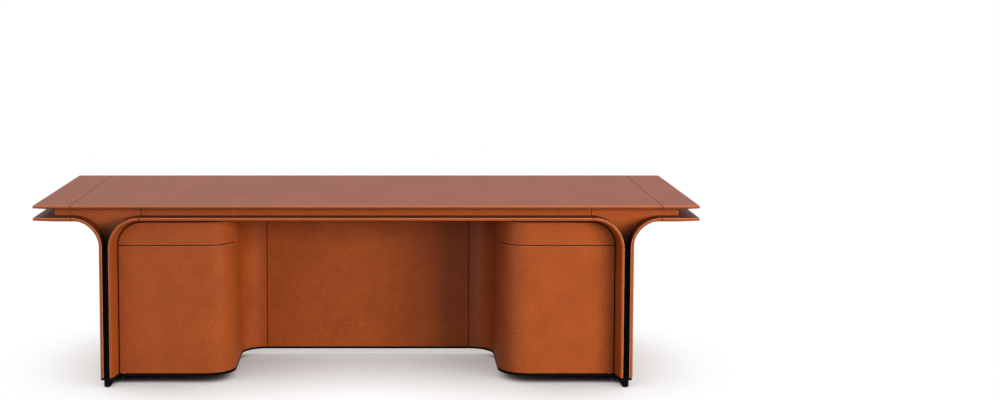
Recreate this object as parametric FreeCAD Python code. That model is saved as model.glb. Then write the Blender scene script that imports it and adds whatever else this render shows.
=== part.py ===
import FreeCAD, Part
import math
import os
from FreeCAD import Vector

# Executive desk: leather-clad bent panels on steel feet, two pedestals with a drawer and a door.
# Millimetres. Origin on the floor under the middle of the top, +X to the sitter's right,
# +Z up, sitter's side at -Y. The right half is modelled and mirrored to the left.

# Overall sizes
TOP_WIDTH = 2700.0
TOP_DEPTH = 1000.0
DESK_HEIGHT = 750.0

# Leather-clad panels: flat on one side, bevelled towards their free edges on the other
PANEL = 25.0
EDGE = 10.5
BEVEL = 74.0
EDGE_EASE = 2.0
TIP_ROUND = 5.0
SEAM = 1.5
FIT = 0.3

# Bent legs: the wing and outer leg, the arch and inner leg
END_OVERHANG = 153.0
BEND = 125.0
LEG_SLOT = 25.0
REVEAL = 25.0
APRON = 18.0
FORK_STEM = 8.0

# Steel under the top and between the legs
BEAM_WIDTH = 50.0
BEAM_INSET = 80.0
CROSS_WIDTH = 60.0
BEAM_WALL = 2.5
SPINE_DEPTH = 80.0
SPINE_WALL = 3.0
SLOT_RECESS = 22.0

# Feet
GLIDE = 3.0
GLIDE_RADIUS = 10.0
GLIDE_END = 50.0
GLIDE_ROWS = 3
BLADE = 29.0
BLADE_WIDTH = 27.0
BLADE_INSET = 8.0
CAP = 9.0

# Pedestals
SIDE_GAP = 5.0
PEDESTAL_WIDTH = 468.5
KNEE_DEPTH = 566.0
CORNER_OUT = 120.0
CORNER_IN = 103.0
FRONT = 20.0
FRONT_GAP = 4.0
FRONT_RETURN = 5.0
FRONT_ROUND = 3.0
DRAWER_HEIGHT = 92.5
DOOR_LIFT = 2.0
CARCASS = 18.0
BACK_SKIN = 18.0
SHELF_RISE = 240.0
SHELF_SIDE_GAP = 1.5
SHELF_SETBACK = 12.0
BRACKET_LONG = 24.0
BRACKET_ARM = 14.0
BRACKET_WALL = 2.0
BRACKET_INSET = 40.0

# Door pivots and push latch
PIVOT_IN = 14.0
PIVOT_BACK = 9.0
PIN_RADIUS = 4.0
PIN_RUN = 0.05
PIN_DEPTH = 25.0
COLLAR_RADIUS = 7.0
PLATE_PLAY = 0.75
PLATE_WIDTH = 26.0
PLATE_LENGTH = 70.0
SWING_ROOM = 2.0
LATCH_FROM_KNEE = 190.0
LATCH_SIZE = 16.0
LATCH_LENGTH = 60.0
PLUNGER_RADIUS = 4.5
PLUNGER_RUN = 0.08
PLUNGER_LENGTH = 40.0

# Drawers on undermount runners
TRAY_WALL = 12.0
TRAY_FLOOR = 8.0
TRAY_TOP_ROOM = 27.0
TRAY_KNEE_ROOM = 13.0
TRAY_BEND_ROOM = 6.0
TRAY_REAR_ROOM = 50.0
RUNNER_INSET = 60.0
RUNNER_WIDTH = 26.0
RUNNER_WALL = 1.6
RUNNER_RISE = 12.0
RUNNER_PLAY = 0.4
RUNNER_FLANGE = 34.0
RUNNER_END = 15.0

# Places worked out from the sizes above
half_width = TOP_WIDTH / 2
half_depth = TOP_DEPTH / 2
top_under = DESK_HEIGHT - PANEL
wing_top = top_under - REVEAL
wing_under = wing_top - PANEL
bend_z = wing_top - BEND
stem_bottom = bend_z - FORK_STEM
leg_bottom = GLIDE + BLADE + CAP
cap_bottom = GLIDE + BLADE

outer_seam = half_width - END_OVERHANG
outer_slot_face = outer_seam - BEND
inner_slot_face = outer_slot_face - LEG_SLOT
inner_seam = inner_slot_face - BEND
leg_axis = (outer_slot_face + inner_slot_face) / 2
outer_leg_face = outer_slot_face + PANEL
inner_leg_face = inner_slot_face - PANEL

recess_y = half_depth - BEVEL
front_y = -recess_y
apron_x = half_width - BEVEL
apron_back_y = recess_y - APRON

pedestal_out = inner_leg_face - SIDE_GAP
knee_half = pedestal_out - PEDESTAL_WIDTH
modesty_y = KNEE_DEPTH - half_depth
corner_seam = knee_half - CORNER_IN
skin_y = modesty_y + PANEL
rear_y = skin_y + BACK_SKIN
front_end_y = front_y + CORNER_OUT + FRONT_RETURN
front_back_y = front_y + FRONT
drawer_top = wing_under - SIDE_GAP
drawer_bottom = drawer_top - DRAWER_HEIGHT
door_top = drawer_bottom - FRONT_GAP
door_bottom = leg_bottom + DOOR_LIFT

pivot_x = pedestal_out - PIVOT_IN
pivot_y = front_y + PIVOT_BACK
door_sweep = math.hypot(PIVOT_IN, FRONT - PIVOT_BACK)
carcass_y = pivot_y + door_sweep + SWING_ROOM
liner_in = knee_half + PANEL
liner_out = pedestal_out - CARCASS
wall_front_y = front_end_y + FRONT_GAP
liner_round = wall_front_y - carcass_y
plate_bottom = door_top + PLATE_PLAY
plate_top = drawer_bottom - PLATE_PLAY
divider_top = plate_bottom
divider_bottom = divider_top - CARCASS
floor_top = leg_bottom + CARCASS
shelf_bottom = floor_top + SHELF_RISE

runner_floor = divider_top
tray_bottom = runner_floor + RUNNER_RISE + 2 * RUNNER_WALL
tray_top = wing_under - TRAY_TOP_ROOM
bend_inside = BEND - PANEL
tray_clear = math.sqrt(bend_inside ** 2 - max(tray_top - bend_z, 0) ** 2)
tray_out = inner_seam + tray_clear - TRAY_BEND_ROOM
tray_in = liner_in + TRAY_KNEE_ROOM
tray_back = skin_y - TRAY_REAR_ROOM

parts = {}


def plan(u, v):
    return Vector(u, v, 0)


def front_view(u, v):
    return Vector(u, 0, v)


def side_view(u, v):
    return Vector(0, u, v)


def rounded_face(view, corners):
    """Face through corners (u, v) or (u, v, radius), each radius a tangent arc."""
    bends = []
    for index, corner in enumerate(corners):
        following = corners[(index + 1) % len(corners)]
        here = view(corner[0], corner[1])
        back = (view(corners[index - 1][0], corners[index - 1][1]) - here).normalize()
        ahead = (view(following[0], following[1]) - here).normalize()
        radius = corner[2] if len(corner) > 2 else 0.0
        half = back.getAngle(ahead) / 2
        run = radius / math.tan(half)
        middle = (back + ahead).normalize() * (radius / math.sin(half) - radius) if radius else Vector()
        bends.append((here + back * run, here + middle, here + ahead * run))
    edges = []
    for index, (start, middle, end) in enumerate(bends):
        if not start.isEqual(end, 1e-6):
            edges.append(Part.Arc(start, middle, end).toShape())
        following = bends[(index + 1) % len(bends)][0]
        if not end.isEqual(following, 1e-6):
            edges.append(Part.LineSegment(end, following).toShape())
    return Part.Face(Part.Wire(edges))


def prism(view, corners, start, end):
    """Solid of a rounded outline, from start to end along the axis the view looks down."""
    axis = {plan: Vector(0, 0, 1), front_view: Vector(0, 1, 0), side_view: Vector(1, 0, 0)}[view]
    face = rounded_face(view, corners)
    face.translate(axis * start)
    return face.extrude(axis * (end - start))


def block(x0, x1, y0, y1, z0, z1):
    return Part.makeBox(x1 - x0, y1 - y0, z1 - z0, Vector(x0, y0, z0))


def tube(x0, x1, y0, y1, z0, z1, wall, along):
    """Rectangular steel tube, open at both ends along X, Y or Z."""
    dx, dy, dz = [0 if axis == along else wall for axis in "XYZ"]
    bore = block(x0 + dx, x1 - dx, y0 + dy, y1 - dy, z0 + dz, z1 - dz)
    return block(x0, x1, y0, y1, z0, z1).cut(bore)


def disc(x, y, z0, z1, radius):
    return Part.makeCylinder(radius, z1 - z0, Vector(x, y, z0))


def mirrored(shape):
    return shape.mirror(Vector(0, 0, 0), Vector(1, 0, 0))


def add_pair(name, shape):
    parts["right_" + name] = shape
    parts["left_" + name] = mirrored(shape)


def add_both_sides(name, solids):
    parts[name] = Part.makeCompound(solids + [mirrored(solid) for solid in solids])


def bevelled_section(flat, side):
    """Section across a panel: flat face at one level, bevelled face on the given side of it."""
    eased = flat + side * EDGE_EASE
    thin = flat + side * EDGE
    thick = flat + side * PANEL
    return [
        (half_depth - EDGE_EASE, flat),
        (half_depth, eased),
        (half_depth, thin),
        (recess_y, thick),
        (-recess_y, thick),
        (-half_depth, thin),
        (-half_depth, eased),
        (EDGE_EASE - half_depth, flat),
    ]


def long_panel(top, x0, x1):
    return prism(side_view, bevelled_section(top, -1), x0, x1)


def end_panel(top):
    """Panel beyond the outer seam, bevelled on its three free sides."""
    seam = outer_seam + SEAM
    end_section = [
        (seam, top),
        (half_width - EDGE_EASE, top),
        (half_width, top - EDGE_EASE),
        (half_width, top - EDGE),
        (apron_x, top - PANEL),
        (seam, top - PANEL),
    ]
    outline = [
        (seam, -half_depth),
        (half_width, -half_depth, TIP_ROUND),
        (half_width, half_depth, TIP_ROUND),
        (seam, half_depth),
    ]
    ends = prism(front_view, end_section, -half_depth, half_depth)
    corners = prism(plan, outline, top - PANEL, top)
    return long_panel(top, seam, half_width).common(ends).common(corners)


def bent_leg(slot_face, side, bend_x):
    """Leg swept up from the foot and round a quarter bend, from one bevelled section."""
    section = [(u, v) for v, u in bevelled_section(slot_face, side)]
    straight = prism(plan, section, leg_bottom, bend_z)
    profile = rounded_face(plan, section)
    profile.translate(Vector(0, 0, bend_z))
    bend = profile.revolve(Vector(bend_x, 0, bend_z), Vector(0, 1, 0), side * 90)
    return straight.fuse(bend).removeSplitter()


def apron_fork(y0, y1):
    """Y-shaped cover of the space between the two bends, with a short stem in the leg slot."""
    outline = [
        (inner_seam, top_under),
        (apron_x, top_under),
        (apron_x, wing_top + FIT),
        (outer_slot_face - FIT, wing_top + FIT, BEND + FIT),
        (outer_slot_face - FIT, stem_bottom),
        (inner_slot_face + FIT, stem_bottom),
        (inner_slot_face + FIT, wing_top + FIT, BEND + FIT),
        (inner_seam, wing_top + FIT),
    ]
    return prism(front_view, outline, y0, y1)


def pedestal_front(z0, z1):
    """Drawer or door front: flat, then round the knee-side corner, and concentric with the bend above."""
    outline = [
        (pedestal_out, front_y, FRONT_ROUND),
        (pedestal_out, front_back_y),
        (knee_half + FRONT, front_back_y, CORNER_OUT - FRONT),
        (knee_half + FRONT, front_end_y),
        (knee_half, front_end_y, FRONT_ROUND),
        (knee_half, front_y, CORNER_OUT),
    ]
    opening = [
        (knee_half, leg_bottom),
        (pedestal_out, leg_bottom),
        (pedestal_out, drawer_top, bend_inside - SIDE_GAP),
        (knee_half, drawer_top),
    ]
    band = prism(plan, outline, z0, z1)
    return band.common(prism(front_view, opening, front_y, front_end_y))


def liner_outline(x0, x1, y0, y1, corner):
    """Plan of a piece inside the pedestal, rounded behind the curved front."""
    return [(x0, y0, corner), (x1, y0), (x1, y1), (x0, y1)]


# Work top
parts["top_centre_panel"] = long_panel(DESK_HEIGHT, -outer_seam, outer_seam)
add_pair("top_end_panel", end_panel(DESK_HEIGHT))

# Apron: rails along the front, back and ends, with a fork at each corner
rail_x = inner_seam - SEAM
parts["apron_front_rail"] = block(-rail_x, rail_x, front_y, -apron_back_y, wing_top, top_under)
parts["apron_back_rail"] = block(-rail_x, rail_x, apron_back_y, recess_y, wing_top, top_under)
add_pair("front_fork", apron_fork(front_y, -apron_back_y))
add_pair("back_fork", apron_fork(apron_back_y, recess_y))
end_rail = block(apron_x - APRON, apron_x, -apron_back_y, apron_back_y, wing_top, top_under)
add_pair("apron_end_rail", end_rail)

# Steel subframe in the apron cavity
half_cross = CROSS_WIDTH / 2
beam_end = leg_axis - half_cross
beam_back_y = apron_back_y - BEAM_INSET
beam_front_y = beam_back_y - BEAM_WIDTH
long_beam = tube(-beam_end, beam_end, beam_front_y, beam_back_y, wing_top, top_under, BEAM_WALL, "X")
parts["subframe_long_beams"] = Part.makeCompound(
    [long_beam, long_beam.mirror(Vector(0, 0, 0), Vector(0, 1, 0))]
)
centre_beam = tube(-half_cross, half_cross, -beam_front_y, beam_front_y, wing_top, top_under, BEAM_WALL, "Y")
cross_beam = tube(
    beam_end, leg_axis + half_cross, -apron_back_y, apron_back_y, wing_top, top_under, BEAM_WALL, "Y"
)
parts["subframe_cross_beams"] = Part.makeCompound([centre_beam, cross_beam, mirrored(cross_beam)])

# Bent panels: wings and outer legs, arch and inner legs
add_pair("wing", end_panel(wing_top))
add_pair("outer_leg", bent_leg(outer_slot_face, 1, outer_seam))
add_pair("inner_leg", bent_leg(inner_slot_face, -1, inner_seam))
parts["arch_panel"] = long_panel(wing_top, SEAM - inner_seam, inner_seam - SEAM)

# Spines in the leg slots: posts from the foot to the subframe, each with a folded cover before it
post = tube(
    inner_slot_face, outer_slot_face, -apron_back_y, SPINE_DEPTH - apron_back_y,
    leg_bottom, wing_top, SPINE_WALL, "Z",
)
cover_y = SLOT_RECESS - half_depth
cover_room = block(
    inner_slot_face + SPINE_WALL, outer_slot_face - SPINE_WALL, cover_y + SPINE_WALL, -apron_back_y,
    leg_bottom, stem_bottom - SPINE_WALL,
)
cover = block(inner_slot_face, outer_slot_face, cover_y, -apron_back_y, leg_bottom, stem_bottom)
spine = [post, cover.cut(cover_room)]
spine += [solid.mirror(Vector(0, 0, 0), Vector(0, 1, 0)) for solid in spine]
add_pair("leg_spine", Part.makeCompound(spine))

# Feet: a cap plate as wide as the pair of legs, welded on a round-ended blade, on glides
thinning = PANEL - EDGE
cap_outline = [
    (outer_leg_face - thinning, half_depth, EDGE_EASE),
    (outer_leg_face, recess_y),
    (outer_leg_face, -recess_y),
    (outer_leg_face - thinning, -half_depth, EDGE_EASE),
    (inner_leg_face + thinning, -half_depth, EDGE_EASE),
    (inner_leg_face, -recess_y),
    (inner_leg_face, recess_y),
    (inner_leg_face + thinning, half_depth, EDGE_EASE),
]
blade_end = half_depth - BLADE_INSET
half_blade = BLADE_WIDTH / 2
blade_outline = [
    (leg_axis + half_blade, blade_end, half_blade),
    (leg_axis - half_blade, blade_end, half_blade),
    (leg_axis - half_blade, -blade_end, half_blade),
    (leg_axis + half_blade, -blade_end, half_blade),
]
cap_plate = prism(plan, cap_outline, cap_bottom, leg_bottom)
blade = prism(plan, blade_outline, GLIDE, cap_bottom)
add_pair("foot", cap_plate.fuse(blade).removeSplitter())

glide_span = 2 * (blade_end - GLIDE_END)
glides = []
for row in range(GLIDE_ROWS):
    glide_y = glide_span * (row / (GLIDE_ROWS - 1) - 0.5)
    glides.append(disc(leg_axis, glide_y, 0, GLIDE, GLIDE_RADIUS))
add_both_sides("floor_glides", glides)

# Black base under the pedestals and the modesty panel
base_outline = [
    (pedestal_out, front_y),
    (pedestal_out, rear_y),
    (corner_seam, rear_y),
    (corner_seam, modesty_y),
    (knee_half, modesty_y, CORNER_IN),
    (knee_half, front_y, CORNER_OUT),
]
pivot_hole = disc(pivot_x, pivot_y, cap_bottom, leg_bottom, PIN_RADIUS + PIN_RUN)
add_pair("pedestal_base", prism(plan, base_outline, cap_bottom, leg_bottom).cut(pivot_hole))
parts["centre_base_strip"] = block(-corner_seam, corner_seam, modesty_y, rear_y, cap_bottom, leg_bottom)

# Knee walls with a hollow corner, and the modesty panel between them
wall_outline = [
    (knee_half, wall_front_y, FRONT_ROUND),
    (liner_in, wall_front_y, FRONT_ROUND),
    (liner_in, skin_y, CORNER_IN + PANEL),
    (corner_seam, skin_y),
    (corner_seam, modesty_y),
    (knee_half, modesty_y, CORNER_IN),
]
add_pair("knee_wall", prism(plan, wall_outline, leg_bottom, wing_under))
modesty_x = corner_seam - SEAM
parts["modesty_panel"] = block(-modesty_x, modesty_x, modesty_y, skin_y, leg_bottom, wing_under)

# Back skin on the visitor's side, its top corners following the bends
parts["back_centre_panel"] = block(-modesty_x, modesty_x, skin_y, rear_y, leg_bottom, wing_under)
back_outline = [
    (corner_seam, leg_bottom),
    (inner_leg_face - FIT, leg_bottom),
    (inner_leg_face - FIT, wing_under - FIT, bend_inside - FIT),
    (corner_seam, wing_under - FIT),
]
add_pair("back_panel", prism(front_view, back_outline, skin_y, rear_y))

# Pedestal carcass: outer side, floor, divider under the drawer, shelf on brackets
add_pair("outer_side", block(liner_out, pedestal_out, carcass_y, skin_y, leg_bottom, divider_top))
liner = liner_outline(liner_in, liner_out, carcass_y, skin_y, liner_round)
add_pair("cupboard_floor", prism(plan, liner, leg_bottom, floor_top))
add_pair("divider", prism(plan, liner, divider_bottom, divider_top))
shelf_in = liner_in + SHELF_SIDE_GAP
shelf_out = liner_out - SHELF_SIDE_GAP
shelf_front = carcass_y + SHELF_SETBACK
shelf_plan = liner_outline(shelf_in, shelf_out, shelf_front, skin_y - SHELF_SIDE_GAP, liner_round)
add_pair("shelf", prism(plan, shelf_plan, shelf_bottom, shelf_bottom + CARCASS))

bracket_section = [
    (0, 0),
    (BRACKET_ARM, 0),
    (BRACKET_ARM, -BRACKET_WALL),
    (BRACKET_WALL, -BRACKET_WALL),
    (BRACKET_WALL, -BRACKET_ARM),
    (0, -BRACKET_ARM),
]
bracket = prism(front_view, bracket_section, 0, BRACKET_LONG)
brackets = []
for bracket_y in (wall_front_y + BRACKET_INSET, modesty_y - CORNER_IN - BRACKET_LONG):
    knee_bracket = bracket.translated(Vector(liner_in, bracket_y, shelf_bottom))
    outer_bracket = mirrored(bracket).translated(Vector(liner_out, bracket_y, shelf_bottom))
    brackets += [knee_bracket, outer_bracket]
add_both_sides("shelf_brackets", brackets)

# Drawer: front, and an open tray whose front corner follows the curved front
add_pair("drawer_front", pedestal_front(drawer_bottom, drawer_top))
tray_corner = CORNER_OUT - FRONT
outer_tray = prism(
    plan, liner_outline(tray_in, tray_out, front_back_y, tray_back, tray_corner), tray_bottom, tray_top
)
pocket_plan = liner_outline(
    tray_in + TRAY_WALL, tray_out - TRAY_WALL, front_back_y + TRAY_WALL, tray_back - TRAY_WALL,
    tray_corner - TRAY_WALL,
)
pocket = prism(plan, pocket_plan, tray_bottom + TRAY_FLOOR, tray_top)
add_pair("drawer_tray", outer_tray.cut(pocket))

# Undermount runners: cabinet channel on the divider, middle channel, and a rail under the tray
half_runner = RUNNER_WIDTH / 2
runner_step = RUNNER_WALL + RUNNER_PLAY
runner_front = carcass_y + RUNNER_END
runner_back = tray_back - RUNNER_END
runner_centres = (tray_in + RUNNER_INSET + tray_corner / 2, tray_out - RUNNER_INSET)


def channel(centre, inset):
    """Open-topped channel nested inside the cabinet member by the given inset."""
    reach = half_runner - inset
    low = runner_floor + inset
    high = runner_floor + RUNNER_RISE
    outline = [
        (centre - reach, low),
        (centre + reach, low),
        (centre + reach, high),
        (centre + reach - RUNNER_WALL, high),
        (centre + reach - RUNNER_WALL, low + RUNNER_WALL),
        (centre - reach + RUNNER_WALL, low + RUNNER_WALL),
        (centre - reach + RUNNER_WALL, high),
        (centre - reach, high),
    ]
    return prism(front_view, outline, runner_front, runner_back)


def tray_rail(centre):
    """T-shaped rail: a web inside the middle channel and a flange under the tray."""
    reach = half_runner - 2 * runner_step
    flange = RUNNER_FLANGE / 2
    outline = [
        (centre - reach, runner_floor + 2 * runner_step),
        (centre + reach, runner_floor + 2 * runner_step),
        (centre + reach, tray_bottom - RUNNER_WALL),
        (centre + flange, tray_bottom - RUNNER_WALL),
        (centre + flange, tray_bottom),
        (centre - flange, tray_bottom),
        (centre - flange, tray_bottom - RUNNER_WALL),
        (centre - reach, tray_bottom - RUNNER_WALL),
    ]
    return prism(front_view, outline, runner_front, runner_back)


add_both_sides("runner_cabinet_members", [channel(centre, 0) for centre in runner_centres])
add_pair("runner_middles", Part.makeCompound([channel(centre, runner_step) for centre in runner_centres]))
add_pair("drawer_rails", Part.makeCompound([tray_rail(centre) for centre in runner_centres]))

# Door with its pivot pins, turning in the base below and in a plate on the divider above
top_socket = disc(pivot_x, pivot_y, door_top - PIN_DEPTH, door_top, PIN_RADIUS)
bottom_socket = disc(pivot_x, pivot_y, door_bottom, door_bottom + PIN_DEPTH, PIN_RADIUS)
add_pair("door", pedestal_front(door_bottom, door_top).cut(top_socket).cut(bottom_socket))
top_pin = disc(pivot_x, pivot_y, door_top - PIN_DEPTH, plate_top, PIN_RADIUS)
bottom_pin = disc(pivot_x, pivot_y, cap_bottom, door_bottom + PIN_DEPTH, PIN_RADIUS)
collar = disc(pivot_x, pivot_y, leg_bottom, door_bottom, COLLAR_RADIUS)
add_pair("door_pins", Part.makeCompound([top_pin, bottom_pin.fuse(collar)]))
half_plate = PLATE_WIDTH / 2
plate_outline = [
    (pivot_x - half_plate, pivot_y - COLLAR_RADIUS, COLLAR_RADIUS / 2),
    (pivot_x + PIVOT_IN - FRONT_GAP, pivot_y - COLLAR_RADIUS, COLLAR_RADIUS / 2),
    (pivot_x + PIVOT_IN - FRONT_GAP, pivot_y + PLATE_LENGTH),
    (pivot_x - half_plate, pivot_y + PLATE_LENGTH),
]
plate_hole = disc(pivot_x, pivot_y, plate_bottom, plate_top, PIN_RADIUS + PIN_RUN)
pivot_plate = prism(plan, plate_outline, plate_bottom, plate_top).cut(plate_hole)
add_both_sides("door_pivot_plates", [pivot_plate])

# Push latch under the divider: a housing with a sprung plunger behind the door
latch_x = knee_half + LATCH_FROM_KNEE
latch_z = divider_bottom - LATCH_SIZE / 2
half_latch = LATCH_SIZE / 2
latch_bore = Part.makeCylinder(
    PLUNGER_RADIUS + PLUNGER_RUN, LATCH_LENGTH - half_latch,
    Vector(latch_x, carcass_y, latch_z), Vector(0, 1, 0),
)
housing = block(
    latch_x - half_latch, latch_x + half_latch, carcass_y, carcass_y + LATCH_LENGTH,
    divider_bottom - LATCH_SIZE, divider_bottom,
)
add_both_sides("latch_housings", [housing.cut(latch_bore)])
plunger = Part.makeCylinder(
    PLUNGER_RADIUS, PLUNGER_LENGTH, Vector(latch_x, front_back_y + FIT, latch_z), Vector(0, 1, 0)
)
add_pair("latch_plunger", plunger)

os.makedirs("parts", exist_ok=True)
for node, shape in parts.items():
    shape.exportStep("parts/" + node + ".step")
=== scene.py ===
import math

import bmesh
import bpy
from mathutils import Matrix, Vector


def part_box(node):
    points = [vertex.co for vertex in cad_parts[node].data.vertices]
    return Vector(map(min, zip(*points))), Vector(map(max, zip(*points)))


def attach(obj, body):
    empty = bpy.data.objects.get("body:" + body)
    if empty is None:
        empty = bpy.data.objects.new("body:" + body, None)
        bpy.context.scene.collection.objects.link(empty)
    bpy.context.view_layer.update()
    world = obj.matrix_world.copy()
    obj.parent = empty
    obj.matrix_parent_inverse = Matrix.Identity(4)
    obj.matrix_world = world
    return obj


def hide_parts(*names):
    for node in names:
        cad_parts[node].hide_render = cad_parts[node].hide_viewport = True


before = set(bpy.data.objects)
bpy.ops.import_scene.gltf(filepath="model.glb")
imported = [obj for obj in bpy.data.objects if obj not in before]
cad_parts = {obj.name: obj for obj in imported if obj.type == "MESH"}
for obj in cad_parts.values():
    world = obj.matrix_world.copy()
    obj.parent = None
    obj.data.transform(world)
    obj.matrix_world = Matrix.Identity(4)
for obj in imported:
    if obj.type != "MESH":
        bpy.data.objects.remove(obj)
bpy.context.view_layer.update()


# Feet
# A flat steel cap plate as wide as a pair of legs is welded on a round-ended steel blade.
# The weldment is powder-coated black, which leaves a satin skin with a fine orange peel.

MM = 0.001
WELD = 0.002 * MM
FLAT_WITHIN = math.radians(0.2)
EDGE_SEGMENTS = 3
# Share of an edge's rounding that is stained dark where two boards meet in a seam.
SEAM_STAIN = 0.35


def linear(hex_colour):
    """Linear colour with alpha from an sRGB hex value such as B4602F."""
    channels = [int(hex_colour[place:place + 2], 16) / 255 for place in (0, 2, 4)]
    curve = [c / 12.92 if c <= 0.04045 else ((c + 0.055) / 1.055) ** 2.4 for c in channels]
    return (*curve, 1.0)


def set_inputs(material, node, inputs):
    """Sets a node's inputs: a value is written, and an output socket of another node is linked."""
    for socket, value in inputs.items():
        if isinstance(value, bpy.types.NodeSocket):
            material.node_tree.links.new(value, node.inputs[socket])
        else:
            node.inputs[socket].default_value = value


def add(material, kind, inputs, **settings):
    """Adds a shader node with its settings and inputs."""
    node = material.node_tree.nodes.new("ShaderNode" + kind)
    for setting, value in settings.items():
        setattr(node, setting, value)
    set_inputs(material, node, inputs)
    return node


def new_material(name):
    """Empty node material with its Principled shader, and the Object coordinates that it reads."""
    material = bpy.data.materials.new(name)
    material.use_nodes = True
    shader = material.node_tree.nodes["Principled BSDF"]
    place = add(material, "TexCoord", {}).outputs["Object"]
    return material, shader, place


def add_piece(node, shape, material, body="desk", smooth_below=40):
    """Makes a finished bmesh the piece that stands for a frame node and rides on its body."""
    bmesh.ops.recalc_face_normals(shape, faces=shape.faces)
    mesh = bpy.data.meshes.new(node + "_finished")
    shape.to_mesh(mesh)
    shape.free()
    mesh.materials.append(material)
    mesh.shade_smooth()
    mesh.set_sharp_from_angle(angle=math.radians(smooth_below))
    piece = bpy.data.objects.new(mesh.name, mesh)
    bpy.context.scene.collection.objects.link(piece)
    even_faces = piece.modifiers.new("even_faces", "WEIGHTED_NORMAL")
    even_faces.keep_sharp = True
    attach(piece, body)
    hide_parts(node)


def round_edges(shape, radius, seams=(), pale=0.3, sharper_than=30):
    """Rounds the sharp edges.

    Leather is stretched pale over them, and the pale tone also paints a highlight there. At the X of a
    seam it is dyed dark instead.
    """
    pale_edge_and_highlight = shape.faces.layers.float.new("pale_edge_and_highlight")
    dye_and_painted_shade = shape.verts.layers.float.new("dye_and_painted_shade")
    sharp = [e for e in shape.edges if e.is_manifold and e.calc_face_angle() > math.radians(sharper_than)]
    rounded = bmesh.ops.bevel(
        shape, geom=sharp, offset=radius, offset_type="OFFSET", segments=EDGE_SEGMENTS, profile=0.5,
        affect="EDGES", material=-1, clamp_overlap=True, loop_slide=True,
    )
    for face in rounded["faces"]:
        middle = face.calc_center_median()
        by_seam = any(abs(middle.x - seam) <= radius for seam in seams)
        face[pale_edge_and_highlight] = 0.0 if by_seam else pale
    for vert in shape.verts:
        in_seam = any(abs(vert.co.x - seam) < SEAM_STAIN * radius for seam in seams)
        vert[dye_and_painted_shade] = 1.0 if in_seam else 0.0


def eased_copy(node, radius):
    """Welded copy of a frame node with its flat triangles joined and its edges eased."""
    shape = bmesh.new()
    shape.from_mesh(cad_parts[node].data)
    bmesh.ops.remove_doubles(shape, verts=shape.verts, dist=WELD)
    bmesh.ops.dissolve_limit(shape, angle_limit=FLAT_WITHIN, verts=shape.verts, edges=shape.edges)
    round_edges(shape, radius)
    return shape


def finish_node(node, material):
    """Gives a frame node that keeps its own shape its finish."""
    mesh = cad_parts[node].data
    mesh.materials.clear()
    mesh.materials.append(material)


# Powder coat: near black, satin, with an orange peel about 1 mm across, drawn 3 mm wide to show.
black_steel, coat, place = new_material("black_powder_coated_steel")
PEEL = 3 * MM
peel = add(black_steel, "TexNoise", {"Vector": place, "Scale": 1 / PEEL, "Detail": 2.0})
peel_shade = add(black_steel, "ValToRGB", {"Fac": peel.outputs["Fac"]})
peel_shade.color_ramp.elements[0].color = linear("040404")
peel_shade.color_ramp.elements[1].color = linear("090909")
peel_gloss = add(black_steel, "MapRange", {"Value": peel.outputs["Fac"], "To Min": 0.62, "To Max": 0.74})
peel_bump = add(black_steel, "Bump", {
    "Height": peel.outputs["Fac"], "Strength": 0.25, "Distance": 0.15 * MM,
})
set_inputs(black_steel, coat, {
    "Base Color": peel_shade.outputs["Color"],
    "Roughness": peel_gloss.outputs["Result"],
    "Normal": peel_bump.outputs["Normal"],
    "Specular IOR Level": 0.12,
})

STEEL_EASE = 0.8 * MM
for side in ("right", "left"):
    add_piece(side + "_foot", eased_copy(side + "_foot", STEEL_EASE), black_steel)


# Floor glides
# Turned nylon discs pressed into the underside of each blade, three to a foot.
# The nylon is dyed through and has a dull, slightly cloudy skin.

dark_nylon, nylon_skin, place = new_material("dark_moulded_nylon")
CLOUD = 2 * MM
cloud = add(dark_nylon, "TexNoise", {"Vector": place, "Scale": 1 / CLOUD, "Detail": 3.0})
cloud_shade = add(dark_nylon, "ValToRGB", {"Fac": cloud.outputs["Fac"]})
cloud_shade.color_ramp.elements[0].color = linear("161617")
cloud_shade.color_ramp.elements[1].color = linear("262628")
cloud_bump = add(dark_nylon, "Bump", {
    "Height": cloud.outputs["Fac"], "Strength": 0.2, "Distance": 0.1 * MM,
})
set_inputs(dark_nylon, nylon_skin, {
    "Base Color": cloud_shade.outputs["Color"],
    "Normal": cloud_bump.outputs["Normal"],
    "Roughness": 0.55,
    "IOR": 1.53,
})
finish_node("floor_glides", dark_nylon)


# Leg spines and subframe
# Steel posts behind a folded steel cover stand in each leg slot, and long and cross beams of steel
# tube under the top tie the posts of both ends together. All of it is powder-coated like the feet.

for node in ("right_leg_spine", "left_leg_spine", "subframe_long_beams", "subframe_cross_beams"):
    finish_node(node, black_steel)


# Bent legs
# Each leg is a bent board, flat towards the slot and bevelled towards its front and back edges, swept up
# from the foot and round a quarter bend. It is clad all over in cognac leather, darkened with painted
# shade on the side to the slot.

# Vegetable-tanned saddle leather: smooth full grain, satin from wax, a little lighter where the hide is
# dense, pale over an edge where it is stretched and where a highlight is painted, and dark where it is
# dyed in a seam or where shade is painted.
# Its pores are under 1 mm across and are drawn 2.4 mm wide to show.
leather, hide, place = new_material("cognac_saddle_leather")
HIDE_PATCH = 140 * MM
MOTTLE = 7 * MM
PORE = 2.4 * MM
MOTTLE_SHARE = 0.7
patch = add(leather, "TexNoise", {
    "Vector": place, "Scale": 1 / HIDE_PATCH, "Detail": 3.0, "Roughness": 0.6,
})
mottle = add(leather, "TexNoise", {
    "Vector": place, "Scale": 1 / MOTTLE, "Detail": 4.0, "Roughness": 0.65,
})
pores = add(leather, "TexVoronoi", {"Vector": place, "Scale": 1 / PORE, "Randomness": 1.0})
tone = add(leather, "Mix", {0: MOTTLE_SHARE, 2: patch.outputs["Fac"], 3: mottle.outputs["Fac"]})
tan = add(leather, "ValToRGB", {"Fac": tone.outputs[0]})
tan.color_ramp.elements[0].position = 0.38
tan.color_ramp.elements[0].color = linear("8F3E15")
tan.color_ramp.elements[1].position = 0.62
tan.color_ramp.elements[1].color = linear("A64F1C")
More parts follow.
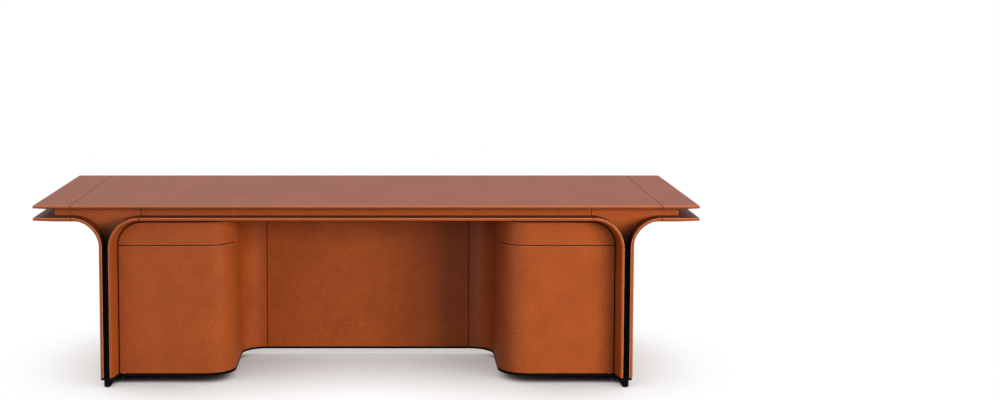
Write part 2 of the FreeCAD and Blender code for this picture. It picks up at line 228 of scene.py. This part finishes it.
# Pale edge tone: leather stretched over the edge, together with a painted highlight.
stretch = add(leather, "Attribute", {}, attribute_name="pale_edge_and_highlight")
pulled_and_highlit = add(leather, "Mix", {
    0: stretch.outputs["Fac"], 6: tan.outputs["Color"], 7: linear("C8805C"),
}, data_type="RGBA")
# Dark tone: dye in the seams, and painted shade in the slots, on the sides to the gap under the top and
# in the fork stems.
darkening = add(leather, "Attribute", {}, attribute_name="dye_and_painted_shade")
dye_and_painted_shade = add(leather, "Mix", {
    0: darkening.outputs["Fac"], 6: pulled_and_highlit.outputs[2], 7: linear("2A1004"),
}, data_type="RGBA")
wax = add(leather, "MapRange", {"Value": mottle.outputs["Fac"], "To Min": 0.44, "To Max": 0.58})
relief = add(leather, "MapRange", {"Value": pores.outputs["Distance"], "From Max": 0.7})
pore_bump = add(leather, "Bump", {
    "Height": relief.outputs["Result"], "Strength": 0.18, "Distance": 0.25 * MM,
})
hide_bump = add(leather, "Bump", {
    "Height": mottle.outputs["Fac"], "Strength": 0.10, "Distance": 0.6 * MM,
    "Normal": pore_bump.outputs["Normal"],
})
set_inputs(leather, hide, {
    "Base Color": dye_and_painted_shade.outputs[2],
    "Roughness": wax.outputs["Result"],
    "Normal": hide_bump.outputs["Normal"],
    "IOR": 1.38,
})

BEND_STEPS = 32
LEATHER_ROUND = 1.8 * MM
EDGE_BAND = 10.5 * MM
TOUCHING = 0.01 * MM
# Painted shade: slot walls are darkened fully, and the sides to the gap under the top by this share.
REVEAL_PAINTED_SHADE = 0.55
arch_low, arch_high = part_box("arch_panel")
PANEL = arch_high.z - arch_low.z
half_depth = arch_high.y
recess_y = -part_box("apron_front_rail")[0].y


def add_pair(node, make_right, material, bodies=("desk", "desk")):
    """Adds a right-hand piece and its mirror image."""
    for side, across, body in zip(("right_", "left_"), (1, -1), bodies):
        shape = make_right()
        bmesh.ops.scale(shape, vec=(across, 1, 1), verts=shape.verts)
        add_piece(side + node, shape, material, body)


def pull(shape, face, offset):
    """Extrudes a face by an offset and returns the new end face."""
    grown = bmesh.ops.extrude_face_region(shape, geom=[face])["geom"]
    grown_verts = [part for part in grown if isinstance(part, bmesh.types.BMVert)]
    bmesh.ops.translate(shape, vec=offset, verts=grown_verts)
    return next(part for part in grown if isinstance(part, bmesh.types.BMFace))


def paint_gap_side_light_and_shade(shape, depth_of, darkening_of):
    """Paints shade on the side that faces a gap, and keeps the pale edges with their painted highlight
    only to that side.

    depth_of gives a point's depth below that side, and darkening_of how dark the side is there.
    """
    pale_edge_and_highlight = shape.faces.layers.float["pale_edge_and_highlight"]
    dye_and_painted_shade = shape.verts.layers.float["dye_and_painted_shade"]
    for face in shape.faces:
        if depth_of(face.calc_center_median()) > EDGE_BAND / 2:
            face[pale_edge_and_highlight] = 0.0
    for vert in shape.verts:
        if depth_of(vert.co) < TOUCHING:
            vert[dye_and_painted_shade] = max(vert[dye_and_painted_shade], darkening_of(vert.co))


def bent_leg(bottom, slot_x, bend_x):
    """Leg from its bevelled section: straight up to the bend, then a quarter turn away from the slot."""
    shape = bmesh.new()
    outward = math.copysign(1, bend_x - slot_x)
    thin_x = slot_x + outward * EDGE_BAND
    thick_x = slot_x + outward * PANEL
    section = [
        (slot_x, half_depth), (thin_x, half_depth), (thick_x, recess_y),
        (thick_x, -recess_y), (thin_x, -half_depth), (slot_x, -half_depth),
    ]
    foot = shape.faces.new([shape.verts.new((x, y, bottom)) for x, y in section])
    bend = abs(bend_x - slot_x)
    bend_z = arch_high.z - bend
    knee = pull(shape, foot, (0, 0, bend_z - bottom))
    bmesh.ops.spin(
        shape, geom=[knee, *knee.edges, *knee.verts], cent=(bend_x, 0, bend_z), axis=(0, 1, 0),
        angle=outward * math.pi / 2, steps=BEND_STEPS,
    )
    bmesh.ops.recalc_face_normals(shape, faces=shape.faces)
    round_edges(shape, LEATHER_ROUND, seams=[bend_x], pale=1.0)
    # Painted shade on the slot side, lighter up the bend, and pale highlighted edges only along the slot
    # side.
    paint_gap_side_light_and_shade(
        shape, lambda point: bend - math.hypot(point.x - bend_x, max(0, point.z - bend_z)),
        lambda point: 1 - (1 - REVEAL_PAINTED_SHADE) * max(0, point.z - bend_z) / bend,
    )
    return shape


outer_low, outer_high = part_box("right_outer_leg")
inner_low, inner_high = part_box("right_inner_leg")
add_pair("outer_leg", lambda: bent_leg(outer_low.z, outer_low.x, outer_high.x), leather)
add_pair("inner_leg", lambda: bent_leg(inner_low.z, inner_high.x, inner_low.x), leather)


# Arch and wings
# The arch is a long leather-clad board between the inner bends, and a wing carries on from each outer
# bend. Their undersides slope up to a thin edge, fine seams divide them from the legs, and their upper
# sides are darkened with painted shade where they face the gap under the top.

TIP_ROUND = 5 * MM
TIP_STEPS = 6
ROUND_STEPS = 24


def outline_face(shape, corners, steps=ROUND_STEPS):
    """Flat face through points, each with a corner radius that may be nought."""
    verts = [shape.verts.new(point) for point, radius in corners]
    shape.faces.new(verts)
    for vert, (point, radius) in zip(verts, corners):
        if radius:
            bmesh.ops.bevel(
                shape, geom=[vert], offset=radius, offset_type="ABSOLUTE", segments=steps, profile=0.5,
                affect="VERTICES", material=-1,
            )
    shape.faces.ensure_lookup_table()
    return shape.faces[0]


def sloped_board(low, high, darkening=0.0):
    """Long board, sloped underneath to thin front and back edges, with painted shade of a given share on
    its upper side.
    """
    shape = bmesh.new()
    thin_z = high.z - EDGE_BAND
    section = [
        (half_depth, high.z), (half_depth, thin_z), (recess_y, low.z),
        (-recess_y, low.z), (-half_depth, thin_z), (-half_depth, high.z),
    ]
    end = shape.faces.new([shape.verts.new((low.x, y, z)) for y, z in section])
    pull(shape, end, (high.x - low.x, 0, 0))
    bmesh.ops.recalc_face_normals(shape, faces=shape.faces)
    round_edges(shape, LEATHER_ROUND, seams=[low.x, high.x], pale=1.0)
    paint_gap_side_light_and_shade(shape, lambda point: high.z - point.z, lambda point: darkening)
    return shape


def sloped_end(low, high, darkening=0.0):
    """End board, sloped underneath on its three free sides, with rounded tips."""
    shape = bmesh.new()
    thin_z = high.z - EDGE_BAND
    band = outline_face(shape, [
        (Vector((low.x, -half_depth, thin_z)), 0), (Vector((high.x, -half_depth, thin_z)), TIP_ROUND),
        (Vector((high.x, half_depth, thin_z)), TIP_ROUND), (Vector((low.x, half_depth, thin_z)), 0),
    ], steps=TIP_STEPS)
    pull(shape, band, (0, 0, EDGE_BAND))
    underside = pull(shape, band, (0, 0, low.z - thin_z))
    bmesh.ops.delete(shape, geom=[band], context="FACES_ONLY")
    for vert in underside.verts:
        vert.co.x = min(vert.co.x, high.x - half_depth + recess_y)
        vert.co.y = max(-recess_y, min(recess_y, vert.co.y))
    bmesh.ops.remove_doubles(shape, verts=shape.verts, dist=TOUCHING)
    bmesh.ops.recalc_face_normals(shape, faces=shape.faces)
    round_edges(shape, LEATHER_ROUND, seams=[low.x], pale=1.0)
    # Painted shade on the upper side, and pale highlighted edges only along the top.
    paint_gap_side_light_and_shade(shape, lambda point: high.z - point.z, lambda point: darkening)
    return shape


add_piece("arch_panel", sloped_board(arch_low, arch_high, REVEAL_PAINTED_SHADE), leather)
add_pair("wing", lambda: sloped_end(*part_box("right_wing"), REVEAL_PAINTED_SHADE), leather)


# Bases
# Thin black steel plates under the pedestals and a strip under the modesty panel keep the leather
# off the floor. They show as a dark line under it.

for node in ("right_pedestal_base", "left_pedestal_base", "centre_base_strip"):
    finish_node(node, black_steel)


# Pedestal carcasses
# Walnut-veneered boards make the inside of each pedestal: an outer side, a floor, a divider under
# the drawer and one shelf. Their front edges are lipped and eased by hand.

# American black walnut, quarter cut and oiled: straight brown bands 9 mm apart with fine dark pores
# along the grain, matt to satin.
BAND = 9 * MM
FIGURE = 45 * MM
BAND_SHARE = 0.55
# The pattern is drawn out along the grain to about 17 times its width.
ALONG_GRAIN = 0.06


def walnut_veneer(name, along):
    """Oiled walnut whose grain runs along the given axis, 0 for X, 1 for Y, 2 for Z."""
    material, board, place = new_material(name)
    stretch = [1.0, 1.0, 1.0]
    stretch[along] = ALONG_GRAIN
    run = add(material, "Mapping", {"Vector": place, "Scale": stretch})
    grain = run.outputs["Vector"]
    figure = add(material, "TexNoise", {"Vector": grain, "Scale": 1 / FIGURE, "Detail": 4.0})
    bands = add(material, "TexNoise", {
        "Vector": grain, "Scale": 1 / BAND, "Detail": 6.0, "Roughness": 0.65,
    })
    streaks = add(material, "Mix", {0: BAND_SHARE, 2: figure.outputs["Fac"], 3: bands.outputs["Fac"]})
    browns = add(material, "ValToRGB", {"Fac": streaks.outputs[0]})
    browns.color_ramp.elements[0].position = 0.32
    browns.color_ramp.elements[0].color = linear("3E2718")
    browns.color_ramp.elements[1].position = 0.68
    browns.color_ramp.elements[1].color = linear("7A5336")
    oil = add(material, "MapRange", {"Value": bands.outputs["Fac"], "To Min": 0.42, "To Max": 0.62})
    bump = add(material, "Bump", {"Height": bands.outputs["Fac"], "Strength": 0.15, "Distance": 0.2 * MM})
    set_inputs(material, board, {
        "Base Color": browns.outputs["Color"],
        "Roughness": oil.outputs["Result"],
        "Normal": bump.outputs["Normal"],
        "IOR": 1.5,
    })
    return material


walnut_across = walnut_veneer("oiled_walnut_across", 0)
walnut_upright = walnut_veneer("oiled_walnut_upright", 2)
WOOD_EASE = 1.2 * MM
for side in ("right_", "left_"):
    add_piece(side + "outer_side", eased_copy(side + "outer_side", WOOD_EASE), walnut_upright)
    for board in ("cupboard_floor", "divider", "shelf"):
        add_piece(side + board, eased_copy(side + board, WOOD_EASE), walnut_across)


# Shelf brackets and fixed runners
# Small pressed angles carry each shelf, and folded channels on the divider carry the drawer.
# Both are zinc-plated steel: pale grey, with a faint spangle.

zinc_steel, plating, place = new_material("zinc_plated_steel")
SPANGLE = 4 * MM
spangle = add(zinc_steel, "TexVoronoi", {"Vector": place, "Scale": 1 / SPANGLE})
spangle_shade = add(zinc_steel, "ValToRGB", {"Fac": spangle.outputs["Distance"]})
spangle_shade.color_ramp.elements[0].color = linear("A9ACB0")
spangle_shade.color_ramp.elements[1].color = linear("C6C8CB")
spangle_gloss = add(zinc_steel, "MapRange", {
    "Value": spangle.outputs["Distance"], "To Min": 0.28, "To Max": 0.42,
})
set_inputs(zinc_steel, plating, {
    "Base Color": spangle_shade.outputs["Color"],
    "Roughness": spangle_gloss.outputs["Result"],
    "Metallic": 1.0,
})
for node in ("shelf_brackets", "runner_cabinet_members"):
    finish_node(node, zinc_steel)


# Knee walls, modesty panel and back skin
# Leather-clad boards line the knee space: each wall runs back and sweeps round a hollow corner to
# the flat modesty panel. A flat skin in three panels, seamed like the front, faces the visitor.

wall_low, wall_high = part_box("right_knee_wall")
modesty_low, modesty_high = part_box("modesty_panel")
front_low, front_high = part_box("right_door")


def knee_wall():
    """Wall board that sweeps round a hollow corner, from its plan."""
    shape = bmesh.new()
    hollow = front_low.x - wall_low.x
    plan = outline_face(shape, [
        (Vector((front_low.x, wall_low.y, wall_low.z)), 0),
        (Vector((wall_high.x, wall_low.y, wall_low.z)), 0),
        (Vector((wall_high.x, wall_high.y, wall_low.z)), hollow + PANEL),
        (Vector((wall_low.x, wall_high.y, wall_low.z)), 0),
        (Vector((wall_low.x, modesty_low.y, wall_low.z)), 0),
        (Vector((front_low.x, modesty_low.y, wall_low.z)), hollow),
    ])
    pull(shape, plan, (0, 0, wall_high.z - wall_low.z))
    bmesh.ops.recalc_face_normals(shape, faces=shape.faces)
    round_edges(shape, LEATHER_ROUND, seams=[wall_low.x])
    return shape


def flat_board(low, high, seamed=True):
    """Square-cut board clad in leather, with a seam at each end along X where another board follows."""
    shape = bmesh.new()
    bmesh.ops.create_cube(shape, size=1)
    bmesh.ops.scale(shape, vec=high - low, verts=shape.verts)
    bmesh.ops.translate(shape, vec=(low + high) / 2, verts=shape.verts)
    round_edges(shape, LEATHER_ROUND, seams=[low.x, high.x] if seamed else ())
    return shape


def back_board():
    """Back panel whose upper outer corner follows the bend of the inner leg."""
    shape = bmesh.new()
    low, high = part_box("right_back_panel")
    bend_radius = inner_high.x - inner_low.x - PANEL
    face = outline_face(shape, [
        (Vector((low.x, low.y, low.z)), 0), (Vector((high.x, low.y, low.z)), 0),
        (Vector((high.x, low.y, high.z)), bend_radius), (Vector((low.x, low.y, high.z)), 0),
    ])
    pull(shape, face, (0, high.y - low.y, 0))
    bmesh.ops.recalc_face_normals(shape, faces=shape.faces)
    round_edges(shape, LEATHER_ROUND, seams=[low.x])
    return shape


add_pair("knee_wall", knee_wall, leather)
add_piece("modesty_panel", flat_board(modesty_low, modesty_high), leather)
add_piece("back_centre_panel", flat_board(*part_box("back_centre_panel")), leather)
add_pair("back_panel", back_board, leather)


# Drawers
# A leather-clad front, bent round the knee-side corner, is screwed to an open walnut tray.
# The tray rides on zinc-plated rails that telescope in the runners.

drawer_low, drawer_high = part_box("right_drawer_front")
DOOR_THICK = 20 * MM
# Straight stretch past the bent corner.
RETURN = 5 * MM
corner_round = front_high.y - front_low.y - RETURN


def bent_front(low_z, high_z):
    """Front between two heights, cut from one bent sheet that fills the whole pedestal opening."""
    shape = bmesh.new()
    bend_x = front_low.x + corner_round
    opening_round = drawer_high.z - (arch_high.z - (inner_high.x - inner_low.x))
    sheet = outline_face(shape, [
        (Vector((bend_x, front_low.y, front_low.z)), 0),
        (Vector((front_high.x, front_low.y, front_low.z)), 0),
        (Vector((front_high.x, front_low.y, drawer_high.z)), opening_round),
        (Vector((bend_x, front_low.y, drawer_high.z)), 0),
    ])
    fold = next(e for e in sheet.edges if all(abs(v.co.x - bend_x) < TOUCHING for v in e.verts))
    turned = bmesh.ops.spin(
        shape, geom=[fold, *fold.verts], cent=(bend_x, front_low.y + corner_round, 0), axis=(0, 0, 1),
        angle=-math.pi / 2, steps=BEND_STEPS,
    )["geom_last"]
    free_edge = [part for part in turned if isinstance(part, bmesh.types.BMEdge)]
    hem = bmesh.ops.extrude_edge_only(shape, edges=free_edge)
    hem_verts = [part for part in hem["geom"] if isinstance(part, bmesh.types.BMVert)]
    bmesh.ops.translate(shape, vec=(0, RETURN, 0), verts=hem_verts)
    for cut_z, upward in ((high_z, 1), (low_z, -1)):
        everything = [*shape.verts, *shape.edges, *shape.faces]
        bmesh.ops.bisect_plane(
            shape, geom=everything, plane_co=(0, 0, cut_z), plane_no=(0, 0, upward), clear_outer=True,
        )
    bmesh.ops.recalc_face_normals(shape, faces=shape.faces)
    facing = max(shape.faces, key=lambda face: abs(face.normal.y))
    if facing.normal.y > 0:
        bmesh.ops.reverse_faces(shape, faces=shape.faces)
    bmesh.ops.solidify(shape, geom=shape.faces, thickness=DOOR_THICK)
    bmesh.ops.recalc_face_normals(shape, faces=shape.faces)
    round_edges(shape, LEATHER_ROUND)
    return shape


drawer_bodies = ("right_drawer", "left_drawer")
add_pair(
    "drawer_front", lambda: bent_front(drawer_low.z, drawer_high.z),
    leather, drawer_bodies,
)
for side in ("right", "left"):
    tray = eased_copy(side + "_drawer_tray", WOOD_EASE)
    add_piece(side + "_drawer_tray", tray, walnut_across, side + "_drawer")
    finish_node(side + "_drawer_rails", zinc_steel)
    finish_node(side + "_runner_middles", zinc_steel)


# Doors
# The door is cut from the same bent, leather-clad sheet below the drawer. It turns on steel pins
# in the base and in a plate on the divider, and a nylon push latch opens it without a handle.

door_bodies = ("right_door", "left_door")
add_pair("door", lambda: bent_front(front_low.z, front_high.z), leather, door_bodies)
finish_node("door_pivot_plates", black_steel)
finish_node("latch_housings", dark_nylon)
for side in ("right", "left"):
    finish_node(side + "_door_pins", zinc_steel)
    finish_node(side + "_latch_plunger", dark_nylon)


# Apron
# Leather-clad rails set back under the edge of the top hide the subframe. At each corner a Y-shaped fork
# runs down between the two bends, and its stem is darkened with painted shade where it meets the slot.

# The painted shade on the stem begins at this height and is full one fade below it.
PAINTED_SHADE_TOP = 672 * MM
PAINTED_SHADE_FADE = 80 * MM


def apron_fork(node):
    """Fork from its front outline, with both sides of its stem following the bends."""
    shape = bmesh.new()
    low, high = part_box(node)
    play = 0.3 * MM
    radius = inner_high.x - inner_low.x + play
    arm_z = arch_high.z + play
    outline = [
        ((low.x, high.z), 0), ((high.x, high.z), 0), ((high.x, arm_z), 0),
        ((outer_low.x - play, arm_z), radius), ((outer_low.x - play, low.z), 0),
        ((inner_high.x + play, low.z), 0), ((inner_high.x + play, arm_z), radius),
        ((low.x, arm_z), 0),
    ]
    face = outline_face(shape, [(Vector((x, low.y, z)), r) for (x, z), r in outline], steps=BEND_STEPS)
    pull(shape, face, (0, high.y - low.y, 0))
    bmesh.ops.recalc_face_normals(shape, faces=shape.faces)
    round_edges(shape, LEATHER_ROUND, seams=[low.x])
    # Painted shade: the stem darkens downwards into the slot.
    dye_and_painted_shade = shape.verts.layers.float["dye_and_painted_shade"]
    for vert in shape.verts:
        vert[dye_and_painted_shade] = max(vert[dye_and_painted_shade], min(1, (PAINTED_SHADE_TOP - vert.co.z) / PAINTED_SHADE_FADE))
    return shape


for node in ("apron_front_rail", "apron_back_rail"):
    add_piece(node, flat_board(*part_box(node)), leather)
add_pair(
    "apron_end_rail", lambda: flat_board(*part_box("right_apron_end_rail"), seamed=False),
    leather,
)
add_pair("front_fork", lambda: apron_fork("right_front_fork"), leather)
add_pair("back_fork", lambda: apron_fork("right_back_fork"), leather)


# Work top
# Three leather-clad boards lie on the subframe, the long one between two end boards. Each is
# sloped underneath to a thin edge, and a fine seam divides the boards.

add_piece("top_centre_panel", sloped_board(*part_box("top_centre_panel")), leather)
add_pair("top_end_panel", lambda: sloped_end(*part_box("right_top_end_panel")), leather)


# Floor, light and camera
# A pale studio floor fades to white under a dome that is dimmer in front. The key light stands low on
# the right, a weaker fill on the left, and lamps behind and at the left end light the other sides.
# The camera is as high as a standing person.

# Matt sheet, grey in itself so that it throws little light up at the desk. The camera also sees a lift of
# plain white on it, held back near the desk as a painted shadow taken from the share of open sky.
# Reflections see a quarter of that lift, as in a polarised photo. Lengths are in metres, and shade is
# counted as the share of open sky.
floor_material, sheet, place = new_material("white_studio_sheet")
SHADE_REACH = 0.7
CONTACT_REACH = 0.3
CONTACT_DARK = 0.05
CONTACT_CLEAR = 0.2
LIFT = 0.9
LIFT_IN_SHADE = 0.15 * LIFT
MIRRORED = 0.25
DIMPLE = 0.4
dimple = add(floor_material, "TexNoise", {"Vector": place, "Scale": 1 / DIMPLE, "Detail": 2.0})
sheet_tone = add(floor_material, "ValToRGB", {"Fac": dimple.outputs["Fac"]})
sheet_tone.color_ramp.elements[0].color = linear("6A6969")
sheet_tone.color_ramp.elements[1].color = linear("6D6C6C")
ray = add(floor_material, "LightPath", {})
seen = add(floor_material, "Math", {
    0: ray.outputs["Is Glossy Ray"], 1: MIRRORED, 2: ray.outputs["Is Camera Ray"],
}, operation="MULTIPLY_ADD")
seen_through = add(floor_material, "Math", {
    0: seen.outputs["Value"], 1: ray.outputs["Is Transmission Ray"],
}, operation="MAXIMUM")
open_sky = add(floor_material, "AmbientOcclusion", {"Distance": SHADE_REACH}, samples=8)
beneath = add(floor_material, "AmbientOcclusion", {"Distance": CONTACT_REACH}, samples=24)
contact = add(floor_material, "MapRange", {
    "Value": beneath.outputs["AO"], "From Min": CONTACT_DARK, "From Max": CONTACT_CLEAR,
})
# Painted contact shadow in the sheet's own colour under the pedestals.
shaded_tone = add(floor_material, "HueSaturation", {
    "Color": sheet_tone.outputs["Color"], "Value": contact.outputs["Result"],
})
set_inputs(floor_material, sheet, {"Base Color": shaded_tone.outputs["Color"], "Roughness": 0.9})
broad = add(floor_material, "MapRange", {
    "Value": open_sky.outputs["AO"], "To Min": LIFT_IN_SHADE, "To Max": LIFT,
})
lift_share = add(floor_material, "Math", {
    0: broad.outputs["Result"], 1: contact.outputs["Result"],
}, operation="MULTIPLY")
# Painted warm tint of light bounced off the leather, strongest in the painted shadow.
painted_warm_shade = add(floor_material, "ValToRGB", {"Fac": open_sky.outputs["AO"]})
painted_warm_shade.color_ramp.elements[0].color = linear("FFF1EA")
painted_warm_shade.color_ramp.elements[1].color = linear("FFFFFF")
lift_seen = add(floor_material, "Math", {
    0: lift_share.outputs["Value"], 1: seen_through.outputs["Value"],
}, operation="MULTIPLY")
lift = add(floor_material, "Emission", {
    "Color": painted_warm_shade.outputs["Color"], "Strength": lift_seen.outputs["Value"],
})
lit = add(floor_material, "AddShader", {0: sheet.outputs["BSDF"], 1: lift.outputs["Emission"]})
# Past an oval round the desk the sheet fades to plain white, but not in the shadow under the pedestals.
OVAL = (1.65, 1.5, 1.0)
FADE_FROM = 0.55
FADE_TO = 1.05
spread = add(floor_material, "Mapping", {"Vector": place, "Scale": [1 / axis for axis in OVAL]})
reach = add(floor_material, "VectorMath", {0: spread.outputs["Vector"]}, operation="LENGTH")
fade = add(floor_material, "MapRange", {
    "Value": reach.outputs["Value"], "From Min": FADE_FROM, "From Max": FADE_TO,
}, interpolation_type="SMOOTHSTEP")
fade_open = add(floor_material, "Math", {
    0: fade.outputs["Result"], 1: contact.outputs["Result"],
}, operation="MULTIPLY")
fade_seen = add(floor_material, "Math", {
    0: fade_open.outputs["Value"], 1: seen_through.outputs["Value"],
}, operation="MULTIPLY")
white = add(floor_material, "Emission", {"Strength": 1.0})
sheet_or_white = add(floor_material, "MixShader", {
    0: fade_seen.outputs["Value"], 1: lit.outputs["Shader"], 2: white.outputs["Emission"],
})
floor_output = floor_material.node_tree.nodes["Material Output"]
set_inputs(floor_material, floor_output, {"Surface": sheet_or_white.outputs["Shader"]})

FLOOR_HALF = 40
FLOOR_CELLS = 8
floor_shape = bmesh.new()
bmesh.ops.create_grid(floor_shape, x_segments=FLOOR_CELLS, y_segments=FLOOR_CELLS, size=FLOOR_HALF)
floor_mesh = bpy.data.meshes.new("studio_floor")
floor_shape.to_mesh(floor_mesh)
floor_shape.free()
floor_mesh.materials.append(floor_material)
floor = bpy.data.objects.new("studio_floor", floor_mesh)
bpy.context.scene.collection.objects.link(floor)

# A white dome, dimmer on the camera's side, lights the desk. The camera sees it as plain white.
world = bpy.data.worlds.new("white_studio")
bpy.context.scene.world = world
world.use_nodes = True
DOME_FRONT = 0.52
DOME_BACK = 0.84
ray = add(world, "LightPath", {})
direct = add(world, "Math", {
    0: ray.outputs["Is Camera Ray"], 1: ray.outputs["Is Transmission Ray"],
}, operation="MAXIMUM")
gaze = add(world, "TexCoord", {}).outputs["Generated"]
gaze_axes = add(world, "SeparateXYZ", {"Vector": gaze})
dome = add(world, "MapRange", {
    "Value": gaze_axes.outputs["Y"], "From Min": -1.0, "To Min": DOME_FRONT, "To Max": DOME_BACK,
})
dome_level = add(world, "Math", {
    0: direct.outputs["Value"], 1: dome.outputs["Result"],
}, operation="MAXIMUM")
set_inputs(world, world.node_tree.nodes["Background"], {
    "Color": linear("FFFFFF"), "Strength": dome_level.outputs["Value"],
})


# Every lamp stands at the same height and is aimed at the middle of the desk.
LAMP_HEIGHT = 1.6
LAMP_AIM = Vector((0, 0, 0.4))
LAMP_TALL = 1.5


def add_softbox(name, x, y, width, watts, glare=True):
    """Rectangular area lamp. Without glare it has a polarising film, and reflections don't show it."""
    lamp = bpy.data.lights.new(name, "AREA")
    lamp.shape = "RECTANGLE"
    lamp.size = width
    lamp.size_y = LAMP_TALL
    lamp.energy = watts
    holder = bpy.data.objects.new(name, lamp)
    bpy.context.scene.collection.objects.link(holder)
    holder.location = (x, y, LAMP_HEIGHT)
    holder.rotation_euler = (LAMP_AIM - holder.location).to_track_quat("-Z", "Y").to_euler()
    holder.visible_glossy = glare


add_softbox("bare_key_softbox", x=5.6, y=-4.2, width=1.5, watts=90)
add_softbox("filmed_key_softbox", x=4.6, y=-5.3, width=3.0, watts=362, glare=False)
add_softbox("fill_softbox", x=-4.6, y=-5.3, width=3.5, watts=88)
add_softbox("back_softbox", x=0, y=7.0, width=5.0, watts=150, glare=False)
add_softbox("side_softbox", x=-6.6, y=2.2, width=3.0, watts=120, glare=False)

# Seen from in front of the desk's middle, tilted down a little. The shift puts the desk low on the left.
CAMERA_TILT = 0.0829
camera_data = bpy.data.cameras.new("photo_camera")
camera_data.sensor_width = 36
camera_data.lens = 57.785
camera_data.shift_x = 0.113
camera_data.shift_y = -0.09
camera = bpy.data.objects.new("photo_camera", camera_data)
bpy.context.scene.collection.objects.link(camera)
camera.location = (0.0842, -6.9345, 1.6737)
camera.rotation_euler = (math.pi / 2 - CAMERA_TILT, 0, 0)
bpy.context.scene.camera = camera
bpy.context.scene.view_settings.view_transform = "Standard"
